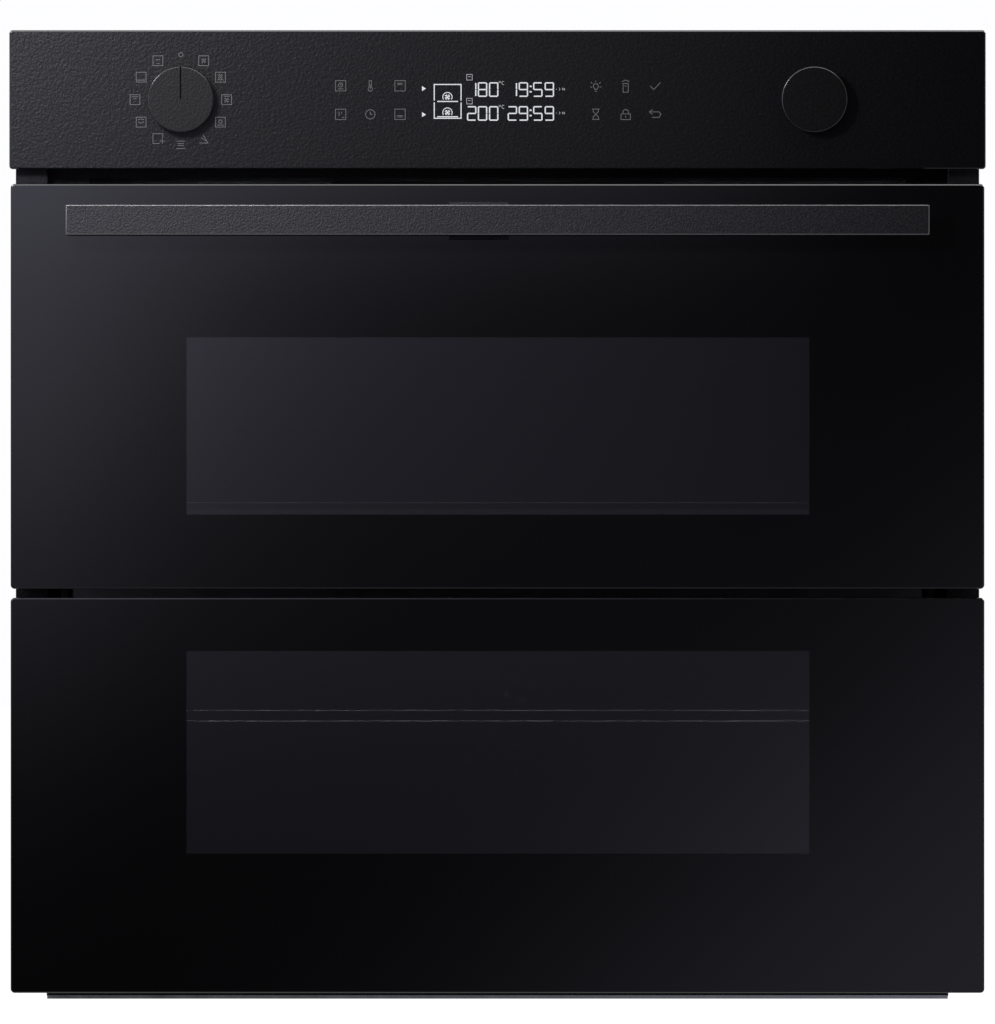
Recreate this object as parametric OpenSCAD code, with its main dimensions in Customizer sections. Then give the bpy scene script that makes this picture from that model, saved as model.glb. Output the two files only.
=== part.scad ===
// Built-in double-cavity oven with a door that is split at half height.
// The upper door folds down on its own, and the whole door folds down on the lower hinges.
// Local frame: +X right, +Y into the cabinet, +Z up, Y = 0 on the cabinet's front, Z = 0 on its shelf.
// Ranges are pairs [low, high]. The last lines move the whole along Y, so that it is centred on its origin.

/* [Front] */
// Width of the control panel, the widest part of the front
front_w = 595; // [592:0.5:598]
// Height of the control panel
panel_h = 84.7; // [82:0.1:88]
// Height of the slot under the control panel where cooling air leaves
vent_gap = 9; // [8:0.1:11]
// Height of the upper door
upper_h = 246.8; // [245:0.1:249]
// Height of the gap between the doors
mid_gap = 5.4; // [5.2:0.1:6]
// Height of the lower door
lower_h = 240.8; // [240:0.1:242]
// Height of the lower door's edge above the shelf
door_clear = 5; // [5:0.1:6]
// How far the glass stands ahead of the cabinet
front_t = 21; // [21:0.1:22]
// Thickness of the panel and door glass
glass_t = 4; // [3.5:0.1:4]

/* [Knobs and handle] */
// Radius of each knob
knob_r = 20.1; // [18:0.1:22]
// How far a knob stands out of the glass
knob_out = 19; // [15:0.5:24]
// Distance of each knob from the centre line
knob_x = 193; // [185:0.5:200]
// Length of the handle bar
handle_w = 525.4; // [500:0.1:540]
// Height of the handle bar
handle_h = 18.3; // [18:0.1:20]
// How far the handle bar's front stands out of the glass
handle_out = 40; // [38:0.5:42]

/* [Body and cavity] */
// Width between the side panels
body_w = 550; // [548:0.5:551]
// Depth of the body behind the cabinet's front
body_d = 549; // [545:0.5:560]
// Height of the body
body_h = 575; // [573:0.5:578]
// Width of the cavity
cavity_w = 480; // [470:1:480]
// Height of the cavity
cavity_h = 365; // [365:0.5:367]
// Depth of the cavity from the front frame to the rear wall
cavity_d = 438.5; // [438:0.5:440]
// Number of blades on each convection fan
fan_blades = 9; // [7:1:12]
// Number of blades on the cooling blower's rotor
rotor_blades = 20; // [16:1:24]

/* [Hidden] */
$fn = 48;

// Levels of the front, from the shelf up
lower_z = door_clear;
lower_top = lower_z + lower_h;
upper_z = lower_top + mid_gap;
upper_top = upper_z + upper_h;
panel_z = upper_top + vent_gap;
panel_top = panel_z + panel_h;

// Depths of the front, from the glass back
glass_y = -front_t;
glass_back = glass_y + glass_t;
core_back = 13;
inner_glass_y = [13, 17];
mid_glass_y = [-3, 0];
frame_y = 20;
sheet = 0.8;
frame_back = frame_y + sheet;
flange_y = -sheet;
lap_y = 6;
rear_y = body_d - 2 - sheet;
base_y = 80;
step_z = 4;

// Widths of the front, from the centre out
door_half = front_w / 2 - 0.8;
flange_half = front_w / 2 - 3.7;
recess_half = body_w / 2 - sheet;
side_half = body_w / 2;
core_x = [246, 262];
arm_x = [262.4, 266.4];
wing_x = [268, 292];
inner_glass_half = 260;

// Hinge axes, both along X. Each is 5 mm behind the outer glass.
// The upper door's foot stays above the top of the lower door's inner glass.
upper_foot = upper_z + 3.3;
hinge_y = glass_back + 5;
lower_hinge_z = lower_z + 9;
mid_hinge_z = upper_z + 8;
pin_r = 3;
pin_bore_r = 3.06;
eye_r = 4.6;

// Cavity
cavity_z = 66;
cavity_top = cavity_z + cavity_h;
cavity_half = cavity_w / 2;
cavity_r = 20;
cavity_back = frame_back + cavity_d;
cover_y = cavity_back - 32;
divider_z = [243, 257];
fan_zs = [(cavity_z + divider_z[0]) / 2, (divider_z[1] + cavity_top) / 2];
fan_r = 55;
fan_y = [cavity_back - 22, cavity_back - 8];
shaft_r = 4;
ring_r = 63;
heater_r = 3.2;
heater_hole_r = 3.6;
grill_z = cavity_top - 10;
floor_heater_z = cavity_z - 6;
lamp = [190, 373];
lamp_size = [32, 60];
sensor = [-190, 395];
flue = [120, 380];

// Shelf levels: heights of the lower wire of each groove
shelf_levels = [100, 164.3, 240.7, 302, 357];
shelf_wire_x = 232.3;
rack_z = 168.4;
rack_y = [38, 400];
tray_rim_z = 305.5;
tray_floor_z = 291;

// Cooling compartment above the cavity
wool_top = 458;
duct_z = [460, 504];
duct_half = 252;
duct_end = 336;
rotor_at = [376, 512];
rotor_r = 26;
rotor_half = 100;

// Panel
knob_z = (panel_z + panel_top) / 2;
knob_face = glass_y - knob_out;
display_x = [-52, 76];

// Handle
handle_z = upper_top - 13 - handle_h / 2;
bar_y = [glass_y - handle_out, glass_y - handle_out + 12];
post_x = 235;
lever_x = [-29.6, 6.8];
inlet = [-200, 500];
bolt_x = 285;
bolt_z = [120, 470];
bolt_r = 2.6;
screw_x = [-262, 262];
screw_z = [25, 160, 300, 430, 560];

// The origin is the middle of the underside of the whole object's box.
origin_shift = -(bar_y[0] + body_d) / 2;

// ---- shapes used by several parts ----

// Box between three ranges
module block(x, y, z)
    translate([x[0], y[0], z[0]]) cube([x[1] - x[0], y[1] - y[0], z[1] - z[0]]);

// Box that is centred on X
module wide(half, y, z) block([-half, half], y, z);

// The same thing on both sides, mirrored about the centre plane
module both_sides() {
    children();
    mirror([1, 0, 0]) children();
}

// A flat outline in X and Z, thickened over a range of Y
module along_y(y) translate([0, y[1], 0]) rotate([90, 0, 0]) linear_extrude(y[1] - y[0]) children();

// A flat outline in Y and Z, thickened over a range of X
module along_x(x) translate([x[0], 0, 0]) rotate([90, 0, 90]) linear_extrude(x[1] - x[0]) children();

// Round rod along X, Y or Z between two places on that axis
module rod_x(x, y, z, r) translate([x[0], y, z]) rotate([0, 90, 0]) cylinder(r = r, h = x[1] - x[0]);
module rod_y(x, y, z, r) translate([x, y[1], z]) rotate([90, 0, 0]) cylinder(r = r, h = y[1] - y[0]);
module rod_z(x, y, z, r) translate([x, y, z[0]]) cylinder(r = r, h = z[1] - z[0]);

// Rectangle with round corners between two ranges
module rounded(x, z, r) {
    translate([x[0] + r, z[0]]) square([x[1] - x[0] - 2 * r, z[1] - z[0]]);
    translate([x[0], z[0] + r]) square([x[1] - x[0], z[1] - z[0] - 2 * r]);
    for (cx = [x[0] + r, x[1] - r], cz = [z[0] + r, z[1] - r]) translate([cx, cz]) circle(r);
}

// Pane of glass with round corners
module pane(half, y, z, r) along_y(y) rounded([-half, half], z, r);

// Row of equal slots along X, cut straight down through a sheet
module slots_x(count, pitch, length, y, z)
    for (i = [0:count - 1]) translate([(i - (count - 1) / 2) * pitch, 0, 0]) wide(length / 2, y, z);

// ---- casing ----

// Floor tray of the casing, stepped up at the front to clear the open door
module base_pan() color("silver") {
    wide(side_half, [frame_back, base_y], [step_z, step_z + sheet]);
    wide(side_half, [base_y - sheet, base_y], [0, step_z + sheet]);
    wide(side_half, [base_y - sheet, rear_y], [0, sheet]);
    wide(side_half, [rear_y - sheet, rear_y], [0, 14]);
    both_sides() block([side_half - sheet, side_half], [base_y - sheet, rear_y], [0, 14]);
    for (x = [-150, 0, 150]) rib(x);
}

// Pressed stiffening rib of the floor tray
module rib(x) block([x - 12, x + 12], [130, 500], [sheet, 4]);

// Outer side sheet with intake louvres near the top
module side_panel() color("silver") difference() {
    block([side_half, side_half + sheet], [lap_y, rear_y], [0, body_h]);
    block([side_half - 1, side_half + 2], [lap_y - 1, base_y], [-1, step_z + sheet]);
    for (i = [0:6]) block([side_half - 1, side_half + 2], [330, 470], [508 + i * 8, 511 + i * 8]);
}
module side_panel_right() side_panel();
module side_panel_left() mirror([1, 0, 0]) side_panel();

// Back sheet with the cable inlet and two fields of louvres
module rear_panel() color("silver") difference() {
    wide(side_half + sheet, [rear_y, rear_y + sheet], [0, body_h]);
    rod_y(inlet[0], [rear_y - 1, rear_y + 3], inlet[1], 11);
    for (i = [0:8], x = [-90, 60, 190])
        block([x - 50, x + 50], [rear_y - 1, rear_y + 3], [475 + i * 9, 479 + i * 9]);
    for (i = [0:5], x = [-150, 150])
        block([x - 50, x + 50], [rear_y - 1, rear_y + 3], [40 + i * 9, 44 + i * 9]);
    for (x = screw_x, z = screw_z) rod_y(x, [rear_y - 1, rear_y + 3], z, 1.8);
}

// Lid of the casing with rear slots
module top_cover() color("silver") difference() {
    wide(side_half, [frame_back, rear_y], [body_h - sheet, body_h]);
    for (i = [0:5]) slots_x(6, 76, 60, [420 + i * 16, 426 + i * 16], [body_h - 3, body_h + 1]);
}

// Pan-head screws that hold the rear panel
module casing_screws() color("gainsboro") for (x = screw_x, z = screw_z) {
    rod_y(x, [rear_y + sheet, rear_y + sheet + 2], z, 3.6);
    rod_y(x, [rear_y - 6, rear_y + sheet + 1], z, 1.7);
}

// Pressed front: side flanges for the cabinet screws, a recess for the door and the cavity's mouth
module front_frame() color([0.16, 0.16, 0.17]) difference() {
    union() {
        both_sides() block([recess_half, flange_half], [flange_y, 0], [16, panel_top - 4]);
        both_sides() block([recess_half, side_half], [0, frame_y], [3, panel_top - 4]);
        wide(side_half, [frame_y, frame_back], [3, panel_top - 4]);
        wide(side_half, [0, frame_y], [panel_top - 4 - sheet, panel_top - 4]);
    }
    along_y([frame_y - 1, frame_back + 1])
        rounded([-cavity_half, cavity_half], [cavity_z, cavity_top], cavity_r);
    wide(duct_half - 3, [frame_y - 1, frame_back + 1], [478, 502]);
    wide(200, [frame_y - 1, frame_back + 1], [516, 566]);
    both_sides() block([257, 269], [frame_y - 1, frame_back + 1], [6, 24]);
    for (x = [-bolt_x, bolt_x], z = bolt_z) rod_y(x, [flange_y - 1, 1], z, bolt_r);
}

// ---- cavity ----

// Enamelled box with holes for the shafts, heaters, lamp and flue
module cavity_liner() color([0.13, 0.14, 0.16]) difference() {
    along_y([frame_back, cavity_back + sheet])
        rounded([-cavity_half - sheet, cavity_half + sheet], [cavity_z - sheet, cavity_top + sheet],
                cavity_r + sheet);
    along_y([frame_back - 1, cavity_back])
        rounded([-cavity_half, cavity_half], [cavity_z, cavity_top], cavity_r);
    for (z = fan_zs) {
        rod_y(0, [cavity_back - 1, cavity_back + 3], z, 7);
        for (x = [-12, 12])
            rod_y(x, [cavity_back - 1, cavity_back + 3], z - ring_r, heater_hole_r);
    }
    for (x = [-150, 150]) rod_y(x, [cavity_back - 1, cavity_back + 3], grill_z, heater_hole_r);
    along_y([cavity_back - 1, cavity_back + 3])
        rounded([lamp[0] - 13, lamp[0] + 13], [lamp[1] - 25, lamp[1] + 25], 8);
    rod_y(sensor[0], [cavity_back - 1, cavity_back + 3], sensor[1], 2.3);
    rod_z(flue[0], flue[1], [cavity_top - 1, cavity_top + 3], 12);
}

// Glass-wool blanket round the cavity, with room for the floor element under it
module insulation_blanket() color("khaki") difference() {
    wide(266, [frame_back + 1.5, cavity_back + 30], [42, wool_top]);
    along_y([frame_back, cavity_back + sheet])
        rounded([-cavity_half - sheet, cavity_half + sheet], [cavity_z - sheet, cavity_top + sheet],
                cavity_r + sheet);
    wide(205, [50, cavity_back + 31], [55, cavity_z]);
    for (z = fan_zs) wide(24, [cavity_back, cavity_back + 31], [z - ring_r - 8, z + 12]);
    for (x = [-150, 150]) rod_y(x, [cavity_back, cavity_back + 31], grill_z, 6);
    block([lamp[0] - 20, lamp[0] + 20], [cavity_back, cavity_back + 31], [lamp[1] - 34, lamp[1] + 34]);
    rod_y(sensor[0], [cavity_back, cavity_back + 31], sensor[1], 4);
    rod_z(flue[0], flue[1], [cavity_top, wool_top + 1], 14);
}

// Seal round the cavity's mouth, which the inner door glass closes on
module cavity_gasket() color([0.1, 0.1, 0.1]) along_y([inner_glass_y[1] + 0.3, frame_y]) difference() {
    rounded([-252, 252], [cavity_z - 12, cavity_top + 12], 30);
    rounded([-245, 245], [cavity_z - 5, cavity_top + 5], 23);
}

// Removable plate that parts the two compartments: a flat sheet box, open at the back
module divider_plate() color([0.2, 0.2, 0.22]) difference() {
    union() {
        wide(226, [26, 420], divider_z);
        wide(233, [40, 400], [divider_z[0], divider_z[0] + 5]);
    }
    wide(225.2, [26.8, 421], [divider_z[0] + 0.8, divider_z[1] - 0.8]);
}

// Silicone edge on the divider that meets both inner glasses
module divider_seal() color([0.08, 0.08, 0.08]) wide(237, [inner_glass_y[1] + 0.5, 26], [244, 263]);

// One perforated cover: a shallow tray with its open side to the rear wall
module fan_cover(z) difference() {
    wide(160, [cover_y, cavity_back], [z - 70, z + 70]);
    wide(160 - sheet, [cover_y + sheet, cavity_back + 1], [z - 70 + sheet, z + 70 - sheet]);
    for (ring = [1:4], i = [0:6 * ring - 1])
        translate([10.5 * ring * cos(60 * i / ring), 0, z + 10.5 * ring * sin(60 * i / ring)])
            rod_y(0, [cover_y - 1, cover_y + 3], 0, 3.6);
    for (side = [-1, 1], i = [0:4]) cover_slot(side * 118 + i * 12 - 24, z);
}
module cover_slot(x, z) along_y([cover_y - 1, cover_y + 3]) rounded([x - 3, x + 3], [z - 45, z + 45], 2.9);
module fan_covers() color([0.2, 0.21, 0.23]) for (z = fan_zs) fan_cover(z);

// Convection wheel: back disc, radial blades, hub, nut and shaft
module fan_wheel(z) color("lightgray") {
    rod_y(0, [fan_y[1], fan_y[1] + 1.2], z, fan_r);
    rod_y(0, [fan_y[0] - 2, fan_y[1] + 1], z, 11);
    rod_y(0, [fan_y[0] - 7, cavity_back + 66], z, shaft_r);
    translate([0, fan_y[0] - 1, z]) rotate([90, 0, 0]) cylinder(r = 8, h = 5, $fn = 6);
    for (i = [0:fan_blades - 1]) translate([0, 0, z]) rotate([0, i * 360 / fan_blades, 0])
        block([-0.7, 0.7], [fan_y[0], fan_y[1] + 0.5], [9, fan_r - 1]);
}
module upper_fan() fan_wheel(fan_zs[1]);
module lower_fan() fan_wheel(fan_zs[0]);

// Shaded-pole motors of the two fans, each with a bore for its shaft
module fan_motors() color("dimgray") for (z = fan_zs) difference() {
    union() {
        block([-58, 58], [cavity_back + 30.5, cavity_back + 32], [z - 22, z + 22]);
        rod_y(0, [cavity_back + 31, cavity_back + 50], z, 34);
        block([-27, 27], [cavity_back + 40, cavity_back + 66], [z - 22, z + 30]);
        rod_y(0, [cavity_back + 60, cavity_back + 72], z, 14);
    }
    rod_y(0, [cavity_back + 30, cavity_back + 68], z, shaft_r + 0.06);
}

// Tubular heaters that ring the fans, with legs through the rear wall
module ring_heaters() color("gray") for (z = fan_zs) {
    translate([0, cavity_back - 15, z]) rotate([90, 0, 0])
        rotate_extrude($fn = 96) translate([ring_r, 0]) circle(heater_r);
    for (x = [-12, 12]) rod_y(x, [cavity_back - 15, cavity_back + 14], z - ring_r, heater_r);
}

// U-bend of a tubular heater that lies flat: it opens to -Y
module bend(x, y, z, r, turn) translate([x, y, z]) rotate([0, 0, turn])
    rotate_extrude(angle = 180) translate([r, 0]) circle(heater_r);

// Serpentine heater under the cavity's roof
module grill_element() color("gray") {
    for (i = [0:5]) {
        x = -150 + i * 60;
        last = (i == 0 || i == 5) ? cavity_back + 14 : 380;
        rod_y(x, [90, last], grill_z, heater_r);
    }
    for (i = [0:2]) bend(-120 + i * 120, 90, grill_z, 30, 180);
    for (i = [0:1]) bend(-60 + i * 120, 380, grill_z, 30, 0);
}

// Heater under the cavity's floor
module floor_element() color("gray") {
    for (x = [-60, 60]) rod_y(x, [110, 400], floor_heater_z, heater_r - 0.4);
    for (x = [-140, 140]) rod_y(x, [110, cavity_back + 20], floor_heater_z, heater_r - 0.4);
    for (x = [-100, 100]) floor_bend(x, 110, 40, 180);
    floor_bend(0, 400, 60, 0);
}
module floor_bend(x, y, r, turn) translate([x, y, floor_heater_z]) rotate([0, 0, turn])
    rotate_extrude(angle = 180) translate([r, 0]) circle(heater_r - 0.4);

// Lamp behind an upright glass on the rear wall
module lamp_outline(grow) rounded([lamp[0] - lamp_size[0] / 2 - grow, lamp[0] + lamp_size[0] / 2 + grow],
    [lamp[1] - lamp_size[1] / 2 - grow, lamp[1] + lamp_size[1] / 2 + grow], 10 + grow);
module lamp_cover() color("lightcyan") difference() {
    along_y([cavity_back - 9, cavity_back]) lamp_outline(0);
    along_y([cavity_back - 6, cavity_back + 1]) lamp_outline(-3);
}
module lamp_holder() color("whitesmoke") difference() {
    along_y([cavity_back + sheet, cavity_back + 28]) lamp_outline(0);
    along_y([cavity_back, cavity_back + 26]) lamp_outline(-3);
}
module lamp_bulb() color("ivory") {
    rod_z(lamp[0], cavity_back + 12, [lamp[1] - 27, lamp[1] - 12], 6);
    rod_z(lamp[0], cavity_back + 12, [lamp[1] - 13, lamp[1] + 12], 5);
    translate([lamp[0], cavity_back + 12, lamp[1] + 12]) sphere(5);
}

// Rod sensor on the rear wall
module temperature_sensor() color("silver") {
    rod_y(sensor[0], [cavity_back - 60, cavity_back + 12], sensor[1], 2);
    rod_y(sensor[0], [cavity_back - 1.5, cavity_back], sensor[1], 8);
}

// Chromed wire ladders that carry the shelves
module side_racks() color("lightgray") both_sides() {
    for (y = [70, 390]) rod_z(236, y, [84, 412], 2.5);
    for (level = shelf_levels, step = [0, 17]) {
        rod_y(shelf_wire_x, [44, 408], level + step, 2);
        translate([shelf_wire_x, 44, level + step]) sphere(2);
    }
}

// Shallow enamelled tray in the upper compartment
module baking_tray() color([0.12, 0.12, 0.14]) difference() {
    union() {
        wide(233, [34, 400], [tray_rim_z - 1.2, tray_rim_z]);
        wide(223, [44, 390], [tray_floor_z, tray_rim_z]);
    }
    wide(221.8, [45.2, 388.8], [tray_floor_z + 1.2, tray_rim_z + 1]);
}

// Wire shelf in the lower compartment: a heavy frame, cross wires and a raised front rail
module wire_rack() color("lightgray") {
    half = 229;
    for (x = [-half, half]) rod_y(x, rack_y, rack_z, 3);
    for (y = rack_y) rod_x([-half, half], y, rack_z, 3);
    for (x = [-half, half], y = rack_y) translate([x, y, rack_z]) sphere(3);
    for (y = [155, 285]) rod_x([-half, half], y, rack_z + 0.6, 2.4);
    for (i = [-10:10]) rod_y(i * 21.3, [rack_y[0] - 2, rack_y[1] + 2], rack_z + 4, 1.5);
    rod_x([-half + 6, half - 6], rack_y[0], rack_z + 7.2, 2);
}

// ---- cooling compartment and electronics ----

// Short chimney from the cavity's roof to the space that the blower draws from
module exhaust_flue() color("silver") difference() {
    rod_z(flue[0], flue[1], [cavity_top + sheet, duct_z[0] + 3], 13.5);
    rod_z(flue[0], flue[1], [cavity_top, duct_z[0] + 4], 12);
}

// Sheet duct from the blower's mouth to the slot under the panel, with a shelf for the blower behind it
module air_duct() color("silver") difference() {
    union() {
        wide(duct_half, [frame_back, duct_end], duct_z);
        wide(duct_half, [duct_end - 1, 430], [duct_z[0], duct_z[0] + sheet]);
    }
    wide(duct_half - sheet, [frame_back - 1, duct_end - sheet], [duct_z[0] + sheet, duct_z[1] - sheet]);
    wide(rotor_half + 3, [duct_end - 2, duct_end + 1], [480, duct_z[1] - sheet]);
    rod_z(flue[0], flue[1], [duct_z[0] - 1, duct_z[0] + 3], 13.8);
}

// Half-open scroll round the blower's rotor on two feet, with a bearing hole in each end
module blower_housing() color("silver") difference() {
    union() {
        rod_x([-rotor_half - 5, rotor_half + 5], rotor_at[0], rotor_at[1], 36);
        for (x = [-rotor_half - 5, rotor_half - 25])
            block([x, x + 30], [rotor_at[0] - 25, rotor_at[0] - 5], [duct_z[0] + sheet, rotor_at[1] - 30]);
    }
    rod_x([-rotor_half - 3, rotor_half + 3], rotor_at[0], rotor_at[1], 34.5);
    wide(rotor_half + 3, [330, rotor_at[0] - 10], [480, 503]);
    wide(rotor_half + 3, [rotor_at[0] - 20, 420], [530, 552]);
    rod_x([-rotor_half - 6, rotor_half + 6], rotor_at[0], rotor_at[1], 3.06);
}

// Cross-flow rotor: two discs, long blades and a shaft
module blower_rotor() color("lightgray") {
    for (x = [-rotor_half, rotor_half - 1.5]) rod_x([x, x + 1.5], rotor_at[0], rotor_at[1], rotor_r);
    rod_x([-rotor_half - 5, rotor_half + 40], rotor_at[0], rotor_at[1], 3);
    for (i = [0:rotor_blades - 1])
        translate([0, rotor_at[0], rotor_at[1]]) rotate([i * 360 / rotor_blades, 0, 0])
            wide(rotor_half - 1, [-0.5, 0.5], [rotor_r - 8, rotor_r - 0.5]);
}
module blower_motor() color("dimgray") difference() {
    union() {
        rod_x([rotor_half + 5, rotor_half + 22], rotor_at[0], rotor_at[1], 22);
        block([rotor_half + 20, rotor_half + 44], [rotor_at[0] - 26, rotor_at[0] + 26],
              [rotor_at[1] - 24, rotor_at[1] + 24]);
    }
    rod_x([rotor_half + 4, rotor_half + 41], rotor_at[0], rotor_at[1], 3.06);
}

// Supply board with its relays, transformer and capacitors, on four posts
module power_board() color("darkgreen") {
    block([-240, -110], [110, 300], [514, 515.6]);
    for (x = [-232, -118], y = [120, 290]) rod_z(x, y, [duct_z[1], 515], 3);
    for (y = [130, 160, 190]) block([-235, -217], [y, y + 24], [515.5, 531]);
    block([-190, -150], [130, 170], [515.5, 548]);
    for (y = [200, 225, 250]) rod_z(-140, y, [515.5, 541], 9);
    block([-205, -165], [270, 295], [515.5, 527]);
}

// Mains terminals inside the rear panel
module terminal_block() color("whitesmoke") difference() {
    block([-232, -168], [514, rear_y], [530, 552]);
    for (i = [0:4]) rod_z(-224 + i * 12, 524, [540, 553], 4);
}

// Bush in the rear panel that the supply cable passes through
module cable_gland() color([0.1, 0.1, 0.1]) difference() {
    union() {
        rod_y(inlet[0], [rear_y - 13, rear_y + sheet + 1], inlet[1], 10.9);
        rod_y(inlet[0], [rear_y - 4, rear_y], inlet[1], 15);
    }
    rod_y(inlet[0], [rear_y - 14, rear_y + 4], inlet[1], 5);
}

// ---- control panel ----

module panel_glass() color([0.08, 0.08, 0.09]) difference() {
    pane(front_w / 2, [glass_y, glass_back], [panel_z, panel_top], 2);
    for (x = [-knob_x, knob_x]) rod_y(x, [glass_y - 1, glass_back + 1], knob_z, 5);
}

// Moulded tray behind the glass, deeper between the frame's posts
module panel_carrier() color([0.12, 0.12, 0.12]) difference() {
    union() {
        wide(295.5, [glass_back, -2], [panel_z + 1.5, panel_top - 1.5]);
        wide(recess_half - 2, [-3, 17], [panel_z + 4, panel_top - 7]);
    }
    wide(293, [glass_back - 1, -4.5], [panel_z + 4, panel_top - 4]);
    wide(recess_half - 4.5, [-5, 14.5], [panel_z + 6.5, panel_top - 9.5]);
    wide(90, [14, 18], [panel_z + 20, panel_top - 20]);
}

// Display and touch board behind the middle of the glass
module display_board() color("darkgreen") {
    block([-112, 116], [-9, -7.4], [knob_z - 28, knob_z + 28]);
    block(display_x, [glass_back + 0.2, -8.8], [knob_z - 17, knob_z + 17]);
    for (x = [-102, -84, -66, 92, 108], z = [-9, 9]) rod_y(x, [-12, -8.8], knob_z + z, 5);
    for (x = [-105, 108], z = [-22, 22]) rod_y(x, [-7.5, 14.5], knob_z + z, 3);
}

// Rotary encoders on small boards, each with a bushed bore for its knob's shaft
module knob_encoders() color("gray") for (x = [-knob_x, knob_x]) difference() {
    union() {
        rod_y(x, [glass_y + 1, -13], knob_z, 4.6);
        block([x - 8, x + 8], [-14, -5], [knob_z - 8, knob_z + 8]);
        block([x - 20, x + 20], [-5.2, -3.6], [knob_z - 20, knob_z + 20]);
        for (dx = [-15, 15], dz = [-15, 15]) rod_y(x + dx, [-4, 14.5], knob_z + dz, 2.5);
    }
    rod_y(x, [glass_y, -7], knob_z, pin_bore_r);
}

// Turned knob with a narrow bevel, hollow behind, and its shaft
module knob(x) translate([x, glass_y, knob_z]) rotate([90, 0, 0]) {
    bevel = 0.7;
    gap = 0.8;
    rotate_extrude($fn = 96) polygon([
        [0, 6], [16, 6], [16, gap], [knob_r, gap], [knob_r, knob_out - bevel],
        [knob_r - bevel, knob_out], [0, knob_out]
    ]);
    translate([0, 0, -13]) cylinder(r = pin_r, h = 20);
}
module mode_knob() color([0.2, 0.2, 0.21]) difference() {
    knob(-knob_x);
    block([-knob_x - 0.6, -knob_x + 0.6], [knob_face - 1, knob_face + 0.7], [knob_z, knob_z + knob_r + 1]);
}
module value_knob() color([0.1, 0.1, 0.11]) knob(knob_x);

// ---- hinges of the whole door ----

// Cassette in the casing, arm through the frame's slot and the pin the lower door turns on
module lower_hinges() color("silver") both_sides() {
    difference() {
        block([256, 271], [frame_back + 2, 116], [8, 38]);
        block([257.2, 269.8], [frame_back, 114.8], [9.2, 36.8]);
    }
    along_x(arm_x) {
        translate([hinge_y, lower_hinge_z]) circle(eye_r);
        translate([hinge_y, lower_hinge_z - 3.5]) square([115 - hinge_y, 7]);
    }
    rod_x([core_x[0] + 2, arm_x[1]], hinge_y, lower_hinge_z, pin_r);
}

// Close-wound extension springs above the arms, with the rods that anchor them in the cassettes.
// The coils touch, so each spring is a round bar with one ridge per coil.
spring_r = 4.4;
groove_r = 3.6;
coils = 24;
coil_pitch = 1.8;
spring_l = coils * coil_pitch;
function ridges() = [for (i = [0:2 * coils]) [i % 2 == 0 ? groove_r : spring_r, i * coil_pitch / 2]];
module hinge_springs() color("gray") both_sides() translate([263.5, 50, 28]) {
    rotate([-90, 0, 0]) rotate_extrude() polygon(concat([[0, 0]], ridges(), [[0, spring_l]]));
    rod_y(0, [spring_l - 1, 64.8], 0, 1);
    rod_y(0, [-18, 1], 0, 1);
    rod_z(0, -17, [-10.5, 0], 1);
}

// ---- doors ----

// One door's side profiles: a channel beside the hinge arm and a trim wing under the glass's edge
module stiles(z, bore_z, web_z, pocket) color([0.12, 0.12, 0.13]) both_sides() difference() {
    union() {
        block(core_x, [glass_back, core_back], [z[0], pocket[1] + 3]);
        block(wing_x, [glass_back, -4], z);
        block([core_x[1], wing_x[0]], [glass_back, glass_back + 2.4], [web_z, z[1]]);
    }
    block([core_x[0] - 1, core_x[1] - 2], [glass_back + 2.4, core_back - 2], pocket);
    block([wing_x[0] + 2, wing_x[1] - 2], [glass_back + 2.4, -3], [z[0] + 3, z[1] - 3]);
    rod_x([core_x[0] - 1, core_x[1] + 1], hinge_y, bore_z, pin_bore_r);
}

// A door's cross rail: an inverted channel with air slots through its web
module rail(half, z) color([0.12, 0.12, 0.13]) difference() {
    wide(half, [glass_back, core_back], z);
    wide(half - 2, [glass_back + 2.4, core_back - 2], [z[0] - 1, z[1] - 2]);
    slots_x(11, 42, 30, [-8, 2], [z[0] - 1, z[1] + 1]);
}

module lower_outer_glass() color([0.03, 0.03, 0.04])
    pane(door_half, [glass_y, glass_back], [lower_z, lower_top], 2.5);
module lower_middle_glass() color([0.3, 0.35, 0.35]) pane(256, mid_glass_y, [30, 228], 4);
module lower_inner_glass() color([0.3, 0.35, 0.35]) pane(inner_glass_half, inner_glass_y, [28, 254], 2);
module lower_stiles() stiles([8, 243], lower_hinge_z, 32, [30, 236]);
module lower_top_rail() rail(core_x[0], [236, 244.5]);
module lower_bottom_rail() rail(core_x[0], [12, 30]);

// Goose-neck brackets on the lower door that carry the upper door's pins
module mid_hinges() color("silver") both_sides() {
    along_x(arm_x) {
        translate([hinge_y, mid_hinge_z]) circle(eye_r);
        translate([hinge_y, mid_hinge_z - 3.2]) square([10 - hinge_y, 6.4]);
        translate([2, 215]) square([8, mid_hinge_z + 3.2 - 215]);
    }
    block([core_x[1], arm_x[1]], [2, 10], [215, 236]);
    rod_x([core_x[0] + 2, arm_x[1]], hinge_y, mid_hinge_z, pin_r);
}

module upper_outer_glass() color([0.03, 0.03, 0.04]) difference() {
    pane(door_half, [glass_y, glass_back], [upper_z, upper_top], 2.5);
    for (x = [-post_x, post_x]) rod_y(x, [glass_y - 1, glass_back + 1], handle_z, 3);
}
module upper_middle_glass() color([0.3, 0.35, 0.35]) pane(256, mid_glass_y, [270, 464], 4);
module upper_inner_glass() color([0.3, 0.35, 0.35]) pane(inner_glass_half, inner_glass_y, [258, 470], 2);
module upper_stiles() stiles([upper_foot, 494], mid_hinge_z, 272, [270, 480]);
module upper_top_rail() rail(core_x[1], [483, 494]);
module upper_bottom_rail() rail(core_x[0], [upper_foot, 270]);

// ---- handle ----

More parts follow.
